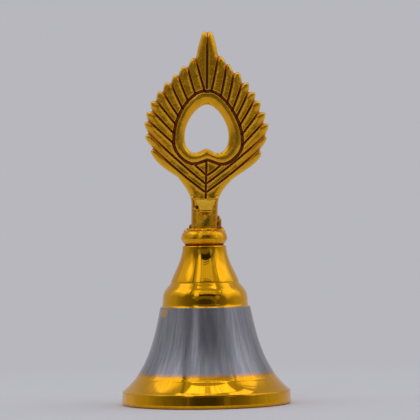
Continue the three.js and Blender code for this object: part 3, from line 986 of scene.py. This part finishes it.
def collar_bead():
    """The turned bead between cup and handle. Its foot stands on the cup, in a narrow joint that the
    material darkens as painted shadow.
    """
    joint = CUP_TOP + 0.03
    profile = chain(
        [(2.35, joint), (7.25, joint), (7.35, joint + 0.32), (7.55, joint + 0.50)],
        bezier((7.62, 60.1), (7.95, 60.35), (8.2, 60.7), (8.42, 61.15), 8),
        bezier((8.42, 61.15), (8.64, 61.5), (8.80, 61.8), (8.74, 62.05), 8),
        bezier((8.46, 63.1), (8.30, 63.7), (7.9, 64.5), (7.3, 64.8), 12),
        bezier((7.3, 64.8), (6.8, 65.0), (6.2, COLLAR_TOP), (5.4, COLLAR_TOP), 8),
        [(4.45, COLLAR_TOP), (4.45, 62.0), (2.35, 62.0)],
    )
    vertices, faces = revolve(profile, ROUND_STEPS)
    radius = np.hypot(vertices[:, 0], vertices[:, 1])
    filed = np.array([noise.noise(Vector(v) * 0.55 + Vector((5.0, 2.0, 9.0))) for v in vertices])
    scale = 1 + 0.07 * filed * smoothstep(7.4, 8.2, radius) / radius
    vertices[:, :2] *= scale[:, None]
    material = lacquered_gold_material("collar_gold", 0.06, 330.0, 0.55, 0.6)
    collar = new_piece("filed_collar", vertices, faces, material)
    return finish_piece(collar, "bell", "collar_bead")


NECK_SIDES = (-4.9, 5.0)  # the neck's left and right faces at its foot
NECK_FACE = 3.0  # its front and back faces


def neck_edge(angle, corner=1.1):
    """A point of the neck's foot outline and its outward direction, by angle."""
    middle = (NECK_SIDES[0] + NECK_SIDES[1]) / 2
    half = np.array(((NECK_SIDES[1] - NECK_SIDES[0]) / 2, NECK_FACE)) - corner
    way = np.array((math.cos(angle), math.sin(angle)))
    reach = min(half[0] / max(abs(way[0]), 1e-6), half[1] / max(abs(way[1]), 1e-6))
    core = np.clip(way * reach * 1.35, -half, half)
    out = way * 0.55 + np.clip((way * reach * 1.35 - core) * 2, -1, 1)
    out = out / np.hypot(*out)
    return np.array((middle, 0)) + core + out * corner, out


# Lumps of braze: each one's middle, measured up from the collar's top, and half its size.
BRAZE_LUMPS = [
    ((5.40, 0.6, 2.4), (1.15, 1.7, 2.75)),
    ((-5.05, 0.4, 0.9), (0.65, 1.6, 1.5)),
    ((5.90, 0.3, -0.4), (1.9, 2.2, 1.5)),
    ((-5.80, 0.2, -0.5), (1.9, 2.2, 1.3)),
    ((1.4, -3.0, 0.1), (1.1, 0.9, 0.95)),
]


def lumpy_ball(centre, half_size):
    """A closed uneven blob."""
    ball, faces = revolve(arc((0, 0), 1.0, -90, 90, 22), 32)
    for point in ball:
        spot = Vector(point) * 1.6 + Vector(centre)
        size = 1 + 0.28 * noise.noise(spot) + 0.12 * noise.noise(spot * 2.7)
        point[:] = np.array(centre) + point * half_size * size
    return ball, faces


def braze_fillet():
    """The uneven fillet round the neck's foot. Each row of points goes once round its section."""
    steps, rise = 160, 10
    vertices = []
    for i in range(steps):
        base, out = neck_edge(2 * math.pi * i / steps)
        spot = Vector((base[0], base[1], 0.0))
        wide = 0.95 + 0.55 * noise.noise(spot * 0.5) + 0.25 * noise.noise(spot * 1.7)
        tall = 0.80 + 0.60 * noise.noise(spot * 0.6 + Vector((7, 0, 0))) + 0.3 * noise.noise(spot * 2.1)
        wide, tall = max(wide, 0.35) * (1 + 0.6 * abs(out[0])), max(tall, 0.25)
        for turn in np.radians(np.linspace(-12, 100, rise + 1)):
            up = COLLAR_TOP + tall * math.sin(turn)
            ripple = 0.10 * noise.noise(Vector((base[0], base[1], up)) * 1.9)
            away = wide * math.cos(turn) - 0.25 + ripple
            vertices.append((*(base + out * away), up))
        for up in (COLLAR_TOP + tall * 0.75, COLLAR_TOP - 0.12):
            vertices.append((*(base - out * 0.75), up))
    return np.array(vertices), [(a, d, c, b) for a, b, c, d in row_faces(steps, rise + 3, closed=True)]


def neck_braze():
    """The braze: a fillet, with lumps at the neck's two sides and in front."""
    lumps = [lumpy_ball((x, y, COLLAR_TOP + z), half_size) for (x, y, z), half_size in BRAZE_LUMPS]
    material = lacquered_gold_material("braze_gold", 0.14, 520.0, 0.9, 0.9)
    braze = new_piece("lumpy_braze", *joined(braze_fillet(), *lumps), material)
    return finish_piece(braze, "bell", "neck_braze")


# ---- Hanger and clapper ----

EYE_HEIGHT = 46.6
RING_HEIGHT = 42.05
LOOP_HEIGHT = 37.6
BOB_HEIGHT = 14.0
BOB_RADIUS = 6.8
BOB_FLAT = 6.283  # from the bob's middle to its filed flats
THREAD_PITCH = 0.7


def steel_material(name, rough, grime, tone=STEEL, dark=STEEL_DARK):
    """Plain plated or bare steel with stains, rust spots and fine scratches."""
    nodes = new_material(name)
    place = nodes.place()
    stain = nodes.noise(place, 420.0, 6.0, 0.62)
    spots = nodes.noise(place, 1500.0)
    scratches = nodes.noise(nodes.stretch(place, 0.12), 4200.0)
    tone = nodes.mix(stain.ease(0.38, 0.66), tone, dark)
    return nodes.finish({
        "Base Color": nodes.mix(spots.ease(0.66 - grime, 0.80 - grime), tone, RUST),
        "Roughness": scratches * 0.10 + stain * 0.28 + (rough - 0.10),
        "Normal": nodes.bump(0.4, 0.05 * MM, spots * 0.6 + scratches * 0.4),
        "Metallic": 1.0,
    })


def wire_material(name):
    return steel_material(name, 0.40, 0.05, WIRE_STEEL, WIRE_STEEL_DARK)


def sweep(path, radii, sides):
    """A round bar along a path of points."""
    run = np.gradient(path, axis=0)
    run /= np.linalg.norm(run, axis=1)[:, None]
    side = np.cross(run[0], (0.31, 0.59, 0.74))
    turns = np.arange(sides) * 2 * math.pi / sides
    vertices = []
    for point, way, radius in zip(path, run, radii):
        side = side - way * side.dot(way)
        side /= np.linalg.norm(side)
        other = np.cross(way, side)
        vertices.append(point + radius * (np.outer(np.cos(turns), side) + np.outer(np.sin(turns), other)))
    return np.vstack(vertices), bar_faces(len(path), sides)


def circle_path(radius, start, end, steps, axes):
    """Points round a circle between two angles in degrees, in the plane of two axes."""
    turn = np.radians(np.linspace(start, end, steps))
    a, b = (np.array(axis, float) for axis in axes)
    return radius * (np.outer(np.cos(turn), a) + np.outer(np.sin(turn), b))


X_AXIS, Y_AXIS, Z_AXIS = (1, 0, 0), (0, 1, 0), (0, 0, 1)


def worn_ends(count, radius):
    """Radii of a bar whose two cut ends are worn a little round."""
    radii = np.full(count, float(radius))
    for k in range(3):
        radii[k] = radii[-1 - k] = radius * (0.80 + 0.20 * (k / 3) ** 0.5)
    return radii


def threaded_bar(radius, low, high, depth):
    """A bar about Z with a screw thread cut all along it."""
    steps, rows_per_turn = 48, 10
    rows = int((high - low) / THREAD_PITCH * rows_per_turn)
    turn = np.arange(steps) / steps
    vertices = []
    for z in np.linspace(low, high, rows):
        phase = (z / THREAD_PITCH - turn) % 1.0
        flank = np.clip(np.abs(phase - 0.5) * 2 * 1.25 - 0.1, 0, 1)
        runout = smoothstep(low, low + 0.6, z)
        vertices.append(ring_points((radius - depth * flank) * (0.82 + 0.18 * runout), turn * 2 * np.pi, z))
    return np.vstack(vertices), bar_faces(rows, steps)


def hanger_stud():
    """A threaded stud whose lower end is bent into an eye."""
    eye_radius, wire = 3.2, 0.9
    eye = circle_path(eye_radius, 98, 442, 64, (X_AXIS, Z_AXIS)) + (0, 0, EYE_HEIGHT)
    shank = threaded_bar(2.0, EYE_HEIGHT + eye_radius - 0.35, 70.4, 0.32)
    mesh = joined(sweep(eye, worn_ends(64, wire), 24), shank)
    stud = new_piece("eye_stud", *mesh, steel_material("stud_steel", 0.34, 0.0))
    return finish_piece(stud, "bell", "hanger_stud")


def crown_washer():
    """A pressed washer, its corners rolled over."""
    top, bottom, edge = 55.7, 54.9, 0.12
    profile = [
        (2.40, bottom + edge), (2.52, bottom), (4.40, bottom), (4.6, bottom + 0.22),
        (4.6, top - 0.08), (4.52, top), (2.48, top), (2.40, top - edge),
    ]
    steel = steel_material("washer_steel", 0.36, 0.02)
    washer = new_piece("pressed_washer", *revolve(profile, SMALL_STEPS), steel)
    return finish_piece(washer, "bell", "crown_washer")


def crown_nut():
    """A hexagon nut with both faces chamfered."""
    top, bottom, half_flats, face_radius = 54.6, 51.4, 3.5, 3.3
    turns = np.arange(96) * 2 * math.pi / 96
    to_flat = (turns + math.pi / 6) % (math.pi / 3) - math.pi / 6
    hexagon = half_flats / np.cos(to_flat)
    slope = (hexagon - face_radius) * math.tan(math.radians(28))
    bore_edge = [(2.05, 0.35), (2.40, 0.03), (face_radius, 0)]
    flank = [(hexagon - 0.04, slope), (hexagon, slope + 0.10)]
    lower = bore_edge + flank
    rows = [(r, bottom + inset) for r, inset in lower] + [(r, top - inset) for r, inset in lower[::-1]]
    vertices = np.vstack([ring_points(r, turns, z) for r, z in rows])
    faces = row_faces(len(rows), len(turns), closed=True)
    nut = new_piece("hexagon_nut", vertices, faces, steel_material("nut_steel", 0.32, 0.01), smooth=False)
    return finish_piece(nut, "bell", "crown_nut")


def swing_ring():
    """A ring of bent wire, its cut ends nearly touching at one side."""
    radius, wire = 3.2, 0.8
    path = circle_path(radius, 3.5, 356.5, 90, (Y_AXIS, Z_AXIS)) + (0, 0, RING_HEIGHT)
    vertices, faces = sweep(path, worn_ends(90, wire), 28)
    ring = new_piece("bent_ring", vertices, faces, wire_material("ring_wire"))
    return finish_piece(ring, "ring", "swing_ring")


def clapper_wire():
    """The clapper's rod: a loop at its top, and a head peened over under the bob."""
    wire, rod = 0.9, 1.05
    loop = circle_path(3.1, -62.0, 262.0, 84, (X_AXIS, Z_AXIS)) + (0, 0, LOOP_HEIGHT)
    last = loop[-1]
    bend = bezier(last, last + (0.30, 0, -0.02), (0.02, 0, 34.2), (0.0, 0, 33.0), 14)
    down = np.column_stack([np.zeros(30), np.zeros(30), np.linspace(32.6, 7.9, 30)])
    path = np.vstack([loop, bend, down])
    radii = np.full(len(path), wire)
    radii[:3] = (0.72, 0.83, 0.88)
    radii[len(loop) :] = np.linspace(wire, rod, len(path) - len(loop))
    head_outline = [
        (0, 6.217), (1.1, 6.24), (1.65, 6.42), (1.95, 6.75), (2.0, 7.05), (1.85, 7.32),
        (1.3, 7.415), (1.05, 7.417), (1.05, 8.2), (0, 8.2),
    ]
    head, head_faces = revolve(head_outline, SMALL_STEPS)
    for point in head:
        dent = 0.07 * noise.noise(Vector(point) * 1.3)
        point[2] = min(max(point[2] + dent, 6.217), 7.417) if point[2] < 7.3 else point[2]
    mesh = joined(sweep(path, radii, 28), (head, head_faces))
    clapper = new_piece("clapper_rod", *mesh, wire_material("clapper_wire"))
    return finish_piece(clapper, "clapper", "clapper_wire")


def clapper_bob():
    """A turned brass ball, filed flat above and below and drilled for the rod."""
    flat_edge = math.degrees(math.acos(2.6 / BOB_RADIUS))
    top, bottom, bore = BOB_HEIGHT + BOB_FLAT, BOB_HEIGHT - BOB_FLAT, 1.4
    profile = chain(
        [(bore + 0.15, bottom), (2.5, bottom)],
        arc((0, BOB_HEIGHT), BOB_RADIUS, -flat_edge + 1.2, -1.6, 24),
        [(BOB_RADIUS - 0.10, BOB_HEIGHT - 0.12), (BOB_RADIUS - 0.10, BOB_HEIGHT + 0.12)],
        arc((0, BOB_HEIGHT), BOB_RADIUS, 1.6, flat_edge - 1.2, 24),
        [(2.5, top), (bore + 0.15, top), (bore, top - 0.15), (bore, bottom + 0.15)],
    )
    bob = new_piece("turned_bob", *revolve(profile, 128), raw_brass_material("bob_brass", 0.36))
    return finish_piece(bob, "clapper", "clapper_bob")


# ---- Studio ----

CAMERA_DISTANCE = 1030.0
CAMERA_SIDE = 2.31
CAMERA_HEIGHT = 72.57
CAMERA_ROLL = 0.85  # degrees; the bell leans this far to the left in the picture
VIEW_WIDTH = 157.48  # what the picture takes in from side to side at the bell's axis
SENSOR_WIDTH = 36.0
BACKDROP_RADIUS = 2600.0
FLOOR_RADIUS = 2550.0
FLOOR_GAP = 0.02  # how far the floor lies below the rim


def make_camera():
    """A long lens level with the bell, turned a little so that the bell leans in the picture."""
    data = bpy.data.cameras.new("camera")
    data.sensor_width = SENSOR_WIDTH
    data.lens = CAMERA_DISTANCE * SENSOR_WIDTH / VIEW_WIDTH
    data.clip_start = 0.05
    data.clip_end = 20.0
    camera = new_object("camera", data)
    roll = math.radians(CAMERA_ROLL)
    right = Vector((math.cos(roll), 0, -math.sin(roll)))
    up = Vector((math.sin(roll), 0, math.cos(roll)))
    turn = Matrix((right, up, Vector((0, -1, 0)))).transposed().to_4x4()
    place = Vector((CAMERA_SIDE, -CAMERA_DISTANCE, CAMERA_HEIGHT)) * MM
    camera.matrix_world = Matrix.Translation(place) @ turn
    bpy.context.scene.camera = camera


def staged(name, shape, material):
    """A piece of the set, which isn't part of the bell."""
    mesh = bpy.data.meshes.new(name)
    shape.to_mesh(mesh)
    shape.free()
    mesh.materials.append(material)
    made = new_object(name, mesh)
    return made


def make_backdrop():
    """A plain pale dome round everything, which only the camera sees."""
    nodes = new_material("backdrop")
    nodes.tree.nodes.remove(nodes.shader)
    glow = nodes.add("Emission", {"Color": BACKDROP_GREY, "Strength": 1.0})
    nodes.fill(nodes.tree.nodes["Material Output"], {"Surface": glow})
    shell = bmesh.new()
    bmesh.ops.create_uvsphere(shell, u_segments=48, v_segments=24, radius=BACKDROP_RADIUS * MM)
    backdrop = staged("backdrop", shell, nodes.owner)
    backdrop.visible_diffuse = False
    backdrop.visible_glossy = False
    backdrop.visible_transmission = False
    backdrop.visible_shadow = False


def floor_material():
    """Pale paper near the bell, which fades into the backdrop's own grey further out."""
    nodes = new_material("floor")
    place = nodes.place()
    radius, _ = nodes.from_axis(place)
    paper = nodes.mix(nodes.noise(place, 220.0), PAPER, PAPER_LIGHT)
    nodes.finish({"Base Color": paper, "Roughness": 0.9, "Specular IOR Level": 0.1})
    glow = nodes.add("Emission", {"Color": BACKDROP_GREY, "Strength": 1.0})
    near = Value(nodes, nodes.shader.outputs[0])
    both = nodes.add("MixShader", {0: radius.ease(0.05, 0.30), 1: near, 2: glow})
    nodes.fill(nodes.tree.nodes["Material Output"], {"Surface": both})
    return nodes.owner


def make_floor():
    """A paper disc just under the rim."""
    disc = bmesh.new()
    bmesh.ops.create_circle(disc, cap_ends=True, segments=96, radius=FLOOR_RADIUS * MM)
    floor = staged("floor", disc, floor_material())
    floor.location.z = -FLOOR_GAP * MM


# Brightness of the studio near the horizon by bearing in degrees: 0 is towards the camera and
# positive is to its right.
LEVEL_STOPS = [
    (-180, 0.46), (-120, 0.43), (-90, 0.36), (-75, 0.25), (-60, 0.17), (-40, 0.12), (-12, 0.04),
    (12, 0.04), (40, 0.13), (60, 0.20), (75, 0.29), (90, 0.39), (120, 0.43), (180, 0.46),
]


def bearing_ramp(nodes, bearing, stops):
    """The brightness for a bearing in radians."""
    ramp = nodes.add("ValToRGB", {"Fac": bearing * (1 / (2 * math.pi)) + 0.5})
    elements = ramp.socket.node.color_ramp.elements
    while len(elements) < len(stops):
        elements.new(0.5)
    for element, (degrees, value) in zip(elements, stops):
        element.position = 0.5 + degrees / 360
        element.color = (value, value, value, 1)
    return ramp


# Light panels and dark bars of the studio, on a map of the ceiling in degrees from straight up:
# right of it, and towards the camera from it. Each is its middle, its half width and half length,
# the lean of its length, the softness of its edge, and its brightness.
STUDIO_PANELS = {
    "tent_left": ((-46, 0), (20, 30), 0, 9, 0.62),
    "panel_left": ((-39, 0), (13, 23), 0, 4, 1.12),
    "tent_right": ((58, 2), (16, 36), 0, 9, 0.78),
    "panel_right": ((45, 2), (15, 23), 0, 4, 1.12),
    "panel_top": ((3, 0), (17, 9.5), 0, 1.2, 1.5),
    "panel_top_back_left": ((-9, -16), (8, 5), 0, 1.2, 1.3),
    "panel_top_back_right": ((20, -18), (7, 6.5), 0, 1.2, 1.4),
    "gap_top": ((1, 0), (2.2, 9), 0, 0.8, 0.70),
    "slat_1": ((7, 0), (0.6, 9), 0, 0.4, 1.0),
    "slat_2": ((10.5, 0), (0.6, 9), 0, 0.4, 1.0),
    "front_high": ((6, 31), (19, 8), 0, 3, 0.68),
    "front_middle": ((8, 44), (21, 8), 0, 2, 0.62),
    "slat_low_1": ((9, 48.8), (14, 1.0), 0, 0.5, 0.14),
    "slat_low_2": ((9, 45.4), (14, 0.8), 0, 0.5, 0.22),
    "strip": ((-21, 39), (6.5, 23), -18, 2.0, 1.0),
    "bar_left_high": ((-19, 1), (1.3, 15), -18, 1.0, 0.24),
    "bar_left_low": ((-35.5, 32), (2.2, 21), -31, 1.2, 0.16),
    "bar_right": ((41, 27), (1.6, 21), 27, 1.0, 0.36),
    "bar_fine_1": ((28, -13), (0.8, 9), -16, 0.6, 0.42),
    "bar_fine_2": ((33, -15), (0.7, 8), -16, 0.6, 0.50),
    "camera": ((9.5, 57.7), (27, 6), 5, 0.9, 0.02),
    "low_band": ((4, 72.5), (42, 6.5), 0, 1.5, 0.17),
    "low_left": ((-33, 63), (10, 5), 0, 4, 0.36),
    "low_right": ((42, 60), (8, 7), 0, 4, 0.36),
}


def panel(nodes, sky, across, towards, middle, half, lean, soft, brightness):
    """The sky with one rectangular panel laid over it."""
    x, y = across - middle[0], towards - middle[1]
    cosine, sine = math.cos(math.radians(lean)), math.sin(math.radians(lean))
    beside = (x * cosine + y * -sine).math("ABSOLUTE")
    along = (y * cosine + x * sine).math("ABSOLUTE")
    mask = beside.ease(half[0] + soft, half[0] - soft) * along.ease(half[1] + soft, half[1] - soft)
    return nodes.mix(mask, sky, (brightness, brightness, brightness, 1))


def make_world():
    """The studio as the metal sees it: dark behind the camera, pale walls, and light panels."""
    world = bpy.data.worlds.new("studio")
    bpy.context.scene.world = world
    nodes = Nodes(world)
    right, back, up = nodes.split(nodes.add("TexCoord", {}, "Generated"))
    bearing = right.math("ARCTAN2", back * -1.0)
    from_top = up.math("ARCCOSINE") * (180 / math.pi)
    across = from_top * bearing.math("SINE")
    towards = from_top * bearing.math("COSINE")
    level = bearing_ramp(nodes, bearing, LEVEL_STOPS)
    sky = nodes.mix(from_top.ease(66.0, 50.0), level, TENT_GREY)
    for shape in STUDIO_PANELS.values():
        sky = panel(nodes, sky, across, towards, *shape)
    lights = nodes.add("Background", {"Color": sky, "Strength": 1.0})
    nodes.fill(world.node_tree.nodes["World Output"], {"Surface": lights})


bpy.context.scene.view_settings.view_transform = "Standard"
make_camera()
make_backdrop()
make_floor()
make_world()
for make_piece in (
    bell_cup, feather_handle, collar_bead, neck_braze, hanger_stud,
    crown_washer, crown_nut, swing_ring, clapper_wire, clapper_bob,
):
    make_piece()
